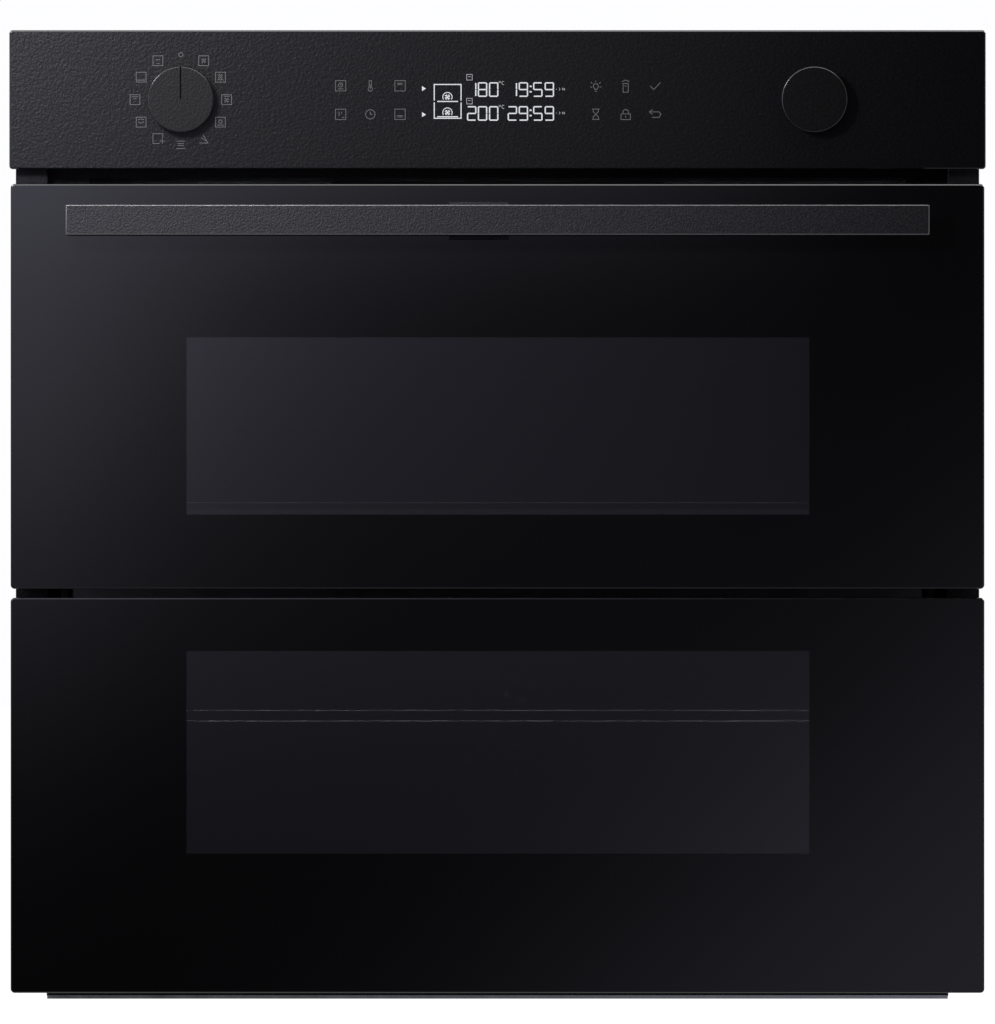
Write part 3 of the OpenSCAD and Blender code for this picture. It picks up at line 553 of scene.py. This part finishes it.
def tray():
    """Deep-drawn tray: round corners, sloped wall and a rim rolled round a bead."""
    low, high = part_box("baking_tray")
    bead = 1.1 * MM
    steps = [(26 * MM, low.z + 0.4 * MM), (16 * MM, low.z), (13 * MM, low.z + 0.9 * MM),
             (11.6 * MM, low.z + 3 * MM), (10.2 * MM, high.z - 2.4 * MM), (9 * MM, high.z - 1.9 * MM)]
    steps += [(bead * (1 - math.cos(a)), high.z - bead + bead * math.sin(a))
              for a in (math.radians(-140 + 280 * i / 12) for i in range(13))]
    steps += [(8.6 * MM, high.z - 0.6 * MM), (10.4 * MM, high.z - 1.1 * MM), (11.2 * MM, high.z - 2.6 * MM),
              (12.6 * MM, low.z + 3.6 * MM), (14 * MM, low.z + 1.9 * MM), (17 * MM, low.z + MM),
              (26 * MM, low.z + 1.4 * MM)]

    def lifted(y, z, inset):
        """Keeps the bead full at the front and flat underneath where the rim slides on the wires."""
        flat, full_until, rim = 1.15 * MM, 12 * MM, 9.5 * MM
        room = flat + bead * min(1, max(0, 1 - (y - low.y) / full_until))
        return max(z, high.z - room) if inset < rim else z

    bm = bmesh.new()
    add_loft(bm, [[(x, y, lifted(y, z, inset))
                   for x, y in rounded_rect((low.x, high.x), (low.y, high.y), 0.03, inset, 8)]
                  for inset, z in steps])
    # The rolled rim takes the bright rack metal instead of the tray's enamel: painted highlight along the
    # rim.
    for face in bm.faces:
        middle = face.calc_center_median()
        edge_gap = min(middle.x - low.x, high.x - middle.x, middle.y - low.y, high.y - middle.y)
        face.material_index = int(edge_gap < 2.4 * bead)
    piece("drawn_tray", bm, ["tray_enamel", "chrome_and_rim_highlight"], "tray", stands_for=("baking_tray",))


tray()

rear_low, rear_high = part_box("rear_panel")
right_low, right_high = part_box("side_panel_right")
top_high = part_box("top_cover")[1]


def add_pad(bm, u, v, place, height=1.5 * MM, radius=0.012):
    """A shallow pressed field with sloped edges. place turns (u, v, height) into a point in space."""
    steps = [(0, 0), (0.4, 0.08), (1.2, 0.3), (2.6, 0.8), (3.6, 0.97), (5, 1)]
    add_loft(bm, [[place(a, b, height * rise) for a, b in rounded_rect(u, v, radius, inset * MM, 8)]
                  for inset, rise in steps])


def add_hood(bm, u, v, place):
    """A louvre's pressed hood over a slot from u[0] to u[1] above v, open below."""
    height = 1.6 * MM
    section = [(5.2, 0), (4.4, 0.45), (3, 0.85), (0.8, 1), (0.8, 0.7), (3, 0.55), (4.4, 0.15), (4.7, 0)]
    stations = [(-1.2, 0.05), (0.4, 0.6), (2.4, 0.92), (5, 1)]
    ends = [(u[0] + along * MM, full) for along, full in stations]
    ends += [(u[1] - along * MM, full) for along, full in reversed(stations)]
    add_loft(bm, [[place(along, v + rise * MM, height * out * full) for rise, out in section]
                  for along, full in ends])


def on_rear(u, v, out):
    return (u, rear_high.y + out, v)


def on_right(u, v, out):
    return (right_high.x + out, u, v)


def on_left(u, v, out):
    return (-right_high.x - out, u, v)


def on_top(u, v, out):
    return (u, v, top_high.z + out)


def casing():
    """Pressed fields and louvre hoods on the outer sheets."""
    bm = bmesh.new()
    add_pad(bm, (-0.215, 0.215), (0.115, 0.44), on_rear, radius=0.025)
    for x in (-0.09, 0.06, 0.19):
        for row in range(9):
            add_hood(bm, (x - 0.05, x + 0.05), rear_low.z + (474.2 + 9 * row) * MM, on_rear)
    for x in (-0.15, 0.15):
        for row in range(6):
            add_hood(bm, (x - 0.05, x + 0.05), rear_low.z + (39.2 + 9 * row) * MM, on_rear)
    piece("rear_pressings", bm, ["galvanised"], "chassis", crease=50)
    for name, place in (("right_pressings", on_right), ("left_pressings", on_left)):
        bm = bmesh.new()
        for z in (0.09, 0.225, 0.36):
            add_pad(bm, (-0.15, 0.25), (z, z + 0.03), place, 1.8 * MM)
        for row in range(7):
            add_hood(bm, (0.086, 0.226), right_low.z + (507.4 + 8 * row) * MM, place)
        piece(name, bm, ["galvanised"], "chassis", crease=50)
    bm = bmesh.new()
    for x in (-0.2, -0.07, 0.07, 0.2):
        add_pad(bm, (x - 0.014, x + 0.014), (-0.17, 0.12), on_top, 1.8 * MM)
    piece("top_pressings", bm, ["galvanised"], "chassis", crease=50)


casing()


def screws():
    """Pan-head screws with a cross recess, ten alike."""
    low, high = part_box("casing_screws")
    xs = (low.x + 3.6 * MM, high.x - 3.6 * MM)
    zs = [low.z + (3.6 + rise) * MM for rise in (0, 135, 275, 405, 535)]
    arm, slim, depth = 1.9 * MM, 0.38 * MM, 1.2 * MM
    quarter = [(slim, slim), (slim, arm), (-slim, arm)]
    bm = bmesh.new()
    for x in xs:
        for z in zs:
            profile = [(1.7 * MM, low.y), (1.7 * MM, high.y - 2 * MM), (3.6 * MM, high.y - 2 * MM),
                       (3.6 * MM, high.y - 1.5 * MM), (3.4 * MM, high.y - 0.8 * MM),
                       (2.9 * MM, high.y - 0.25 * MM), (2.4 * MM, high.y)]
            rings = [loop(bm, circle(x, z, r, 28), y) for r, y in profile]
            for a, b in zip(rings, rings[1:]):
                wall(bm, a, b)
            bm.faces.new(rings[0])
            cross = []
            for c, s in ((1, 0), (0, 1), (-1, 0), (0, -1)):
                cross += [(x + a * c - b * s, z + a * s + b * c) for a, b in quarter]
            mouth, floor = loop(bm, cross, high.y), loop(bm, cross, high.y - depth)
            wall(bm, mouth, floor)
            bm.faces.new(floor)
            brim = edges_of(bm, rings[-1]) + edges_of(bm, mouth)
            bmesh.ops.triangle_fill(bm, edges=brim, use_beauty=True)
            extra = [f for f in bm.faces if set(f.verts) <= set(mouth)]
            bmesh.ops.delete(bm, geom=extra, context="FACES_ONLY")
    piece("casing_screw_set", bm, ["zinc"], "chassis", stands_for=("casing_screws",))


screws()


# ---------------------------------------------------------------- printed symbols and display

SQUARE = [(-1, -1), (1, -1), (1, 1), (-1, 1), "closed"]
BLADES = [[(0, 0), (0.42 * math.cos(a), 0.42 * math.sin(a)),
           (0.5 * math.cos(a + 0.7), 0.5 * math.sin(a + 0.7))]
          for a in (0.4 + i * math.pi / 2 for i in range(4))]
RING = [(math.cos(a), math.sin(a)) for a in (i * math.pi / 12 for i in range(24))]


def ring(x, z, r):
    return [(x + r * c, z + r * s) for c, s in RING] + ["closed"]


def shifted(strokes, x, z):
    return [[(a + x, b + z) for a, b in line] for line in strokes]


MODES = [
    [ring(0, 0, 0.42)],
    [SQUARE, *BLADES],
    [SQUARE, *shifted(BLADES, 0, 0.15), [(-0.6, -0.6), (-0.3, -0.45), (0, -0.6), (0.3, -0.45), (0.6, -0.6)]],
    [SQUARE, *shifted(BLADES, 0, -0.1), [(-0.55, 0.68), (0.55, 0.68)]],
    [SQUARE, ring(0, 0.1, 0.35), [(-0.6, -0.6), (0.6, -0.6)]],
    [[(-0.9, -0.9), (0.9, -0.9), (-0.1, 0.7)], [(-0.5, 0.2), (0.5, -0.5)]],
    [[(-0.9, 0.7), (0.9, 0.7)], [(-0.6, 0.2), (0.6, 0.2)], [(-0.6, -0.2), (0.6, -0.2)],
     [(-0.9, -0.8), (0.9, -0.8)]],
    [[(0.3, -1), (-1, -1), (-1, 1), (1, 1), (1, 0.2)], [(0.4, -0.5), (1.4, -0.5)], [(0.9, 0), (0.9, -1)]],
    [SQUARE, [(-0.6, 0.5), (0, 0.65), (0.6, 0.5)], [(-0.6, 0.1), (0, -0.2), (0.6, 0.1)]],
    [SQUARE, [(-0.6, 0.6), (0.6, 0.6)], [(-0.3, 0.2), (0.3, 0.2)]],
    [SQUARE, [(-1, -0.6), (1, -0.6)]],
    [SQUARE, [(-0.4, 0.2), (0.4, 0.2)], [(-0.3, -0.6), (0.3, -0.6)]],
]
TOUCH = {
    (-95.6, 8.45): [SQUARE, ring(0, 0.15, 0.42), [(0, 0.35), (0, 0.15), (0.2, 0.15)],
                    [(-0.5, -0.6), (0.5, -0.6)]],
    (-77.5, 8.45): [ring(0, -0.62, 0.42), [(-0.22, -0.25), (-0.22, 1), (0.22, 1), (0.22, -0.25)],
                    [(0, -0.6), (0, 0.2)]],
    (-59.4, 8.45): [SQUARE, [(-0.5, 0.5), (0.5, 0.5)], [(-0.5, 0.25), (0.5, 0.25)]],
    (-95.6, -8.95): [SQUARE, [(-0.3, -0.3), (-0.3, 0.45)], [(0.25, 0.45), (0.1, 0.1)],
                     [(0.3, -0.6), (0.7, -0.6)]],
    (-77.5, -8.95): [ring(0, 0, 0.9), [(0, 0.5), (0, 0), (0.4, 0)]],
    (-59.4, -8.95): [SQUARE, [(-0.5, -0.5), (0.5, -0.5)], [(-0.5, -0.25), (0.5, -0.25)]],
    (59.9, 8.0): [[(-0.2, -0.55), (-0.5, 0), (-0.35, 0.5), (0.35, 0.5), (0.5, 0), (0.2, -0.55), "closed"],
                  [(-0.2, -0.9), (0.2, -0.9)], [(-0.7, 0.6), (-0.95, 0.8)], [(0.7, 0.6), (0.95, 0.8)],
                  [(0, 0.85), (0, 1.1)], [(-0.75, -0.1), (-1.05, -0.1)], [(0.75, -0.1), (1.05, -0.1)]],
    (78.1, 8.0): [[(-0.5, -1.1), (0.5, -1.1), (0.5, 0.6), (-0.5, 0.6), "closed"], [(-0.15, 0.1), (0.15, 0.1)],
                  [(-0.7, 0.95), (0, 1.25), (0.7, 0.95)]],
    (96.0, 8.0): [[(-0.9, 0.1), (-0.25, -0.6), (1, 0.75)]],
    (59.9, -8.9): [[(-0.7, 1), (0.7, 1)], [(-0.7, -1), (0.7, -1)],
                   [(-0.5, 1), (-0.5, 0.5), (0.5, -0.5), (0.5, -1)],
                   [(0.5, 1), (0.5, 0.5), (-0.5, -0.5), (-0.5, -1)]],
    (78.1, -9.0): [[(-0.9, -1), (0.9, -1), (0.9, 0.1), (-0.9, 0.1), "closed"],
                   [(-0.5, 0.1), (-0.5, 0.7), (0, 1), (0.5, 0.7), (0.5, 0.1)], [(0, -0.3), (0, -0.6)]],
    (96.0, -8.9): [[(-0.5, 0.9), (-1.1, 0.45), (-0.5, 0)],
                   [(-1, 0.45), (0.8, 0.45), (1.15, 0), (0.8, -0.6), (-0.6, -0.6)]],
}
SEGMENTS = {"0": "abcdef", "1": "bc", "2": "abged", "5": "afgcd", "8": "abcdefg", "9": "abcdfg"}
THIN = 0.38 * MM
MODE_RING = (27.9 * MM, 27.4 * MM)


def draw(bm, strokes, x, z, half, width, index=0):
    """Strokes in units of half an icon, around a place on the glass in metres."""
    for stroke in strokes:
        closed = stroke[-1] == "closed"
        points = [(x + half * a, z + half * b) for a, b in (stroke[:-1] if closed else stroke)]
        add_ribbon(bm, points, width, FACE_Y, closed, index=index)


def draw_digit(bm, sign, x, z, wide=5.75 * MM, tall=8.9 * MM, width=0.76 * MM):
    """One seven-segment figure with its left lower corner at x, z."""
    x0, x1 = x + width / 2, x + wide - width / 2
    z0, z1, zm, gap = z + width / 2, z + tall - width / 2, z + tall / 2, width * 0.42
    bars = {"a": ((x0, z1), (x1, z1)), "g": ((x0, zm), (x1, zm)), "d": ((x0, z0), (x1, z0)),
            "f": ((x0, zm), (x0, z1)), "b": ((x1, zm), (x1, z1)),
            "e": ((x0, z0), (x0, zm)), "c": ((x1, z0), (x1, zm))}
    for name in SEGMENTS[sign]:
        (ax, az), (bx, bz) = bars[name]
        along = (gap, 0) if az == bz else (0, gap)
        add_ribbon(bm, [(ax + along[0], az + along[1]), (bx - along[0], bz - along[1])], width, FACE_Y)


# Mode and touch symbols: grey print with a painted glow.
bm = bmesh.new()
for step, strokes in enumerate(MODES):
    turn = math.radians(90 - 30 * step)
    draw(bm, strokes, -KNOB_X + MODE_RING[0] * math.cos(turn), KNOB_Z + MODE_RING[1] * math.sin(turn),
         3.0 * MM, THIN)
piece("mode_symbols", bm, ["print_grey_painted_glow"], "chassis")

bm = bmesh.new()
for (x, z), strokes in TOUCH.items():
    draw(bm, strokes, x * MM, KNOB_Z + z * MM, 3.15 * MM, THIN)
piece("touch_symbols", bm, ["print_dim_painted_glow"], "chassis")

DEGREES = [ring(1.4, 9, 0.45), [(4, 9.4), (3.1, 9.4), (2.7, 8.9), (2.7, 8), (3.1, 7.5), (4, 7.5)]]
TIMER = [[(35.7, 4.7), (36.1, 4.7)], [(37.6, 5.5), (38.1, 4.7), (37.6, 3.9)],
         [(39.6, 4.1), (39.6, 5.3), (40.8, 4.1), (40.8, 5.3)]]
bm = bmesh.new()
for row, (first, second) in ((1.7 * MM, ("180", "1959")), (-12.85 * MM, ("200", "2959"))):
    z = KNOB_Z + row
    for text, starts in ((first, (-18.6, -12.0, -5.2)), (second, (6.2, 12.9, 21.7, 28.7))):
        for sign, x in zip(text, starts):
            draw_digit(bm, sign, x * MM, z)
    for dot in (3.1, 6.4):
        add_ribbon(bm, [(19.8 * MM, z + dot * MM), (20.6 * MM, z + dot * MM)], 0.9 * MM, FACE_Y)
    draw(bm, DEGREES + TIMER, 0, z, MM, 0.3 * MM, 1)
    draw(bm, [SQUARE, [(-0.4, 0.2), (0.4, 0.2)]], -17.1 * MM, z + 11.95 * MM, 1.7 * MM, 0.35 * MM, 1)
FAN_X = -30.5 * MM
FAN_ARC = [(2.85 * math.cos(a), 2.85 * math.sin(a))
           for a in (math.radians(-28 + 236 * i / 16) for i in range(17))]
for z in (KNOB_Z + 1.55 * MM, KNOB_Z - 7.85 * MM):
    draw(bm, [FAN_ARC], FAN_X, z, MM, 0.48 * MM)
    draw(bm, BLADES, FAN_X, z, 3.1 * MM, 0.66 * MM)
box_top, box_low, box_mid = KNOB_Z + 9.25 * MM, KNOB_Z - 11.35 * MM, KNOB_Z - 1.1 * MM
left, right = -38.55 * MM, -22.2 * MM
for line in ([(left, box_mid + 0.7 * MM), (left, box_top), (right, box_top), (right, box_mid + 0.7 * MM)],
             [(left, box_mid - 0.7 * MM), (left, box_low), (right, box_low), (right, box_mid - 0.7 * MM)],
             [(left + 2 * MM, box_mid), (right - 2 * MM, box_mid)],
             [(left + 2 * MM, box_low + 0.95 * MM), (right - 2 * MM, box_low + 0.95 * MM)]):
    add_ribbon(bm, line, 0.62 * MM, FACE_Y)
for z in (KNOB_Z + 6.75 * MM, KNOB_Z - 9.1 * MM):
    add_patch(bm, [(-46 * MM, z - 1.5 * MM), (-43.6 * MM, z), (-46 * MM, z + 1.5 * MM)], FACE_Y)
piece("display_figures", bm, ["display_white", "display_dim"], "chassis")


# ---------------------------------------------------------------- light, floor and camera

MIRRORED = 0.04  # the share of light that a glass face sends back


def card_level(s, q):
    """How bright the card is. s goes from 0 at the front's left edge to 1, q from 0 at its top to 1."""
    s, q = max(s, 0.0), max(q, 0.0)
    top = 0.016 * math.exp(-(s / 0.78) ** 6 - (q / 0.21) ** 3)
    side = 0.0395 * math.exp(-(s / (0.28 - 0.2 * min(q, 1))) ** 1.4 - (q / 0.5) ** 2.3)
    middle = 0.0012 * math.exp(-(s / 0.8) ** 6 - ((q - 0.48) / 0.24) ** 4)
    corner = 0.0152 / (1 + math.exp(-(s + q - 1.69) / 0.155))
    return (top + side + middle + corner) / MIRRORED


def light_card():
    """Soft light seen only in reflections: bright at the upper left, dim across, faint at the lower right."""
    gap, width, height = 0.45, 1.6, 1.0
    cells = 96
    bm = bmesh.new()
    glow = bm.verts.layers.float_color.new("glow")
    grid = []
    for j in range(cells + 1):
        row = []
        for i in range(cells + 1):
            x = (i / cells - 0.5) * width
            z = FRONT_MID_Z + (j / cells - 0.5) * height
            level = card_level(x / (cad_high.x - cad_low.x) + 0.5,
                               (panel_high.z - z) / (panel_high.z - lower_low.z))
            vert = bm.verts.new((x, FACE_Y - gap, z))
            vert[glow] = (level * 0.97, level * 0.95, level * 1.2, 1.0)
            row.append(vert)
        grid.append(row)
    for a, b in zip(grid, grid[1:]):
        for i in range(cells):
            bm.faces.new((a[i], a[i + 1], b[i + 1], b[i]))
    mesh = bpy.data.meshes.new("light_card")
    bm.to_mesh(mesh)
    bm.free()
    made = bpy.data.materials.new("card_glow")
    made.use_nodes = True
    tree = made.node_tree
    tree.nodes.remove(tree.nodes["Principled BSDF"])
    colour = tree.nodes.new("ShaderNodeAttribute")
    colour.attribute_name = "glow"
    emit = tree.nodes.new("ShaderNodeEmission")
    wire(tree, colour, "Color", emit, "Color")
    wire(tree, emit, "Emission", tree.nodes["Material Output"], "Surface")
    mesh.materials.append(made)
    card = bpy.data.objects.new("light_card", mesh)
    bpy.context.scene.collection.objects.link(card)
    card.visible_camera = False
    card.visible_shadow = False
    card.visible_diffuse = False


light_card()


def studio_floor():
    """White ground that no reflection shows."""
    size = 30.0
    mesh = bpy.data.meshes.new("studio_floor")
    corners = [(-size, -size, 0), (size, -size, 0), (size, size, 0), (-size, size, 0)]
    mesh.from_pydata(corners, [], [(0, 1, 2, 3)])
    floor = bpy.data.objects.new("studio_floor", mesh)
    bpy.context.scene.collection.objects.link(floor)
    pale = material("pale_floor", (0.1, 0.1, 0.1), 0.9, vary=0.01, patch=2, rough_vary=0.02)
    shader = pale.node_tree.nodes["Principled BSDF"]
    shader.inputs["Emission Color"].default_value = (1, 1, 1, 1)
    shader.inputs["Emission Strength"].default_value = 1.0
    mesh.materials.append(pale)
    floor.visible_glossy = False
    floor.visible_diffuse = False


studio_floor()


def studio_world():
    """White to the camera, dim to matt surfaces; in reflections grey at the sides and dark straight ahead."""
    world = bpy.data.worlds.new("studio")
    bpy.context.scene.world = world
    world.use_nodes = True
    world.cycles.sampling_method = "NONE"
    tree = world.node_tree
    path = tree.nodes.new("ShaderNodeLightPath")
    coords = tree.nodes.new("ShaderNodeTexCoord")
    axes = tree.nodes.new("ShaderNodeSeparateXYZ")
    wire(tree, coords, "Generated", axes, "Vector")
    ahead = tree.nodes.new("ShaderNodeMapRange")
    for key, value in (("From Min", -0.97), ("From Max", -0.5), ("To Min", 0.055), ("To Max", 0.5)):
        ahead.inputs[key].default_value = value
    wire(tree, axes, "Y", ahead, "Value")
    matt = tree.nodes.new("ShaderNodeMix")
    wire(tree, path, "Is Diffuse Ray", matt, 0)
    tree.links.new(ahead.outputs["Result"], matt.inputs[2])
    matt.inputs[3].default_value = 0.22
    seen = tree.nodes.new("ShaderNodeMix")
    wire(tree, path, "Is Camera Ray", seen, 0)
    tree.links.new(matt.outputs[0], seen.inputs[2])
    seen.inputs[3].default_value = 1.0
    tree.links.new(seen.outputs[0], tree.nodes["Background"].inputs["Strength"])
    tree.nodes["Background"].inputs["Color"].default_value = (0.985, 0.985, 1.0, 1)


studio_world()


def place_light(name, kind, place, target, watts, size, size_y=0.0, only_shine=False):
    """A light at place that points at target. only_shine leaves matt surfaces unlit."""
    data = bpy.data.lights.new(name, kind)
    data.energy = watts
    if kind == "SPOT":
        data.shadow_soft_size = size
        data.spot_size = math.radians(34)
        data.spot_blend = 1.0
    else:
        data.shape = "RECTANGLE" if size_y else "DISK"
        data.size = size
        data.size_y = size_y or size
    made = bpy.data.objects.new(name, data)
    made.location = place
    made.rotation_euler = (Vector(target) - Vector(place)).to_track_quat("-Z", "Y").to_euler()
    made.visible_camera = False
    made.visible_diffuse = not only_shine
    bpy.context.scene.collection.objects.link(made)


place_light("key_light", "SPOT", (-0.52, FACE_Y - 1.8, 0.9), (-0.22, FACE_Y, 0.56), 58, 0.12)
place_light("rim_light", "AREA", (-1.05, FACE_Y - 1.0, 1.25), (-0.24, FACE_Y, 0.55), 12, 0.45,
            only_shine=True)
place_light("top_light", "AREA", (0, FACE_Y - 0.9, 1.42), (0, FACE_Y, 0.5), 10, 1.8, 0.4, only_shine=True)
place_light("rear_light", "AREA", (1.3, BODY_BACK + 0.9, 1.2), (0, BODY_BACK, 0.3), 14, 0.8)
cavity_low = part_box("cavity_liner")[0]
for name, height, rise, watts in (("tray_glow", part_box("baking_tray")[0].z - 4 * MM, 0.1, 0.014),
                                  ("rack_glow", LOWER_WINDOW_Z[1] + 9 * MM, -0.1, 0.07)):
    place = Vector((0, cavity_low.y + 7 * MM, height))
    place_light(name, "AREA", place, place + Vector((0, 0.05, rise)), watts, 0.42, 0.01, only_shine=True)

CAMERA_GAP = 20.0
CAMERA_Z = 0.29807
FRAME_HEIGHT = 0.624
SENSOR = 36
camera_data = bpy.data.cameras.new("camera")
camera = bpy.data.objects.new("camera", camera_data)
camera.location = (0, FACE_Y - CAMERA_GAP, CAMERA_Z)
camera.rotation_euler = (math.radians(90), 0, 0)
camera_data.sensor_width = SENSOR
camera_data.lens = SENSOR * CAMERA_GAP / FRAME_HEIGHT
camera_data.clip_end = 100
bpy.context.scene.collection.objects.link(camera)
bpy.context.scene.camera = camera
bpy.context.scene.view_settings.view_transform = "Standard"
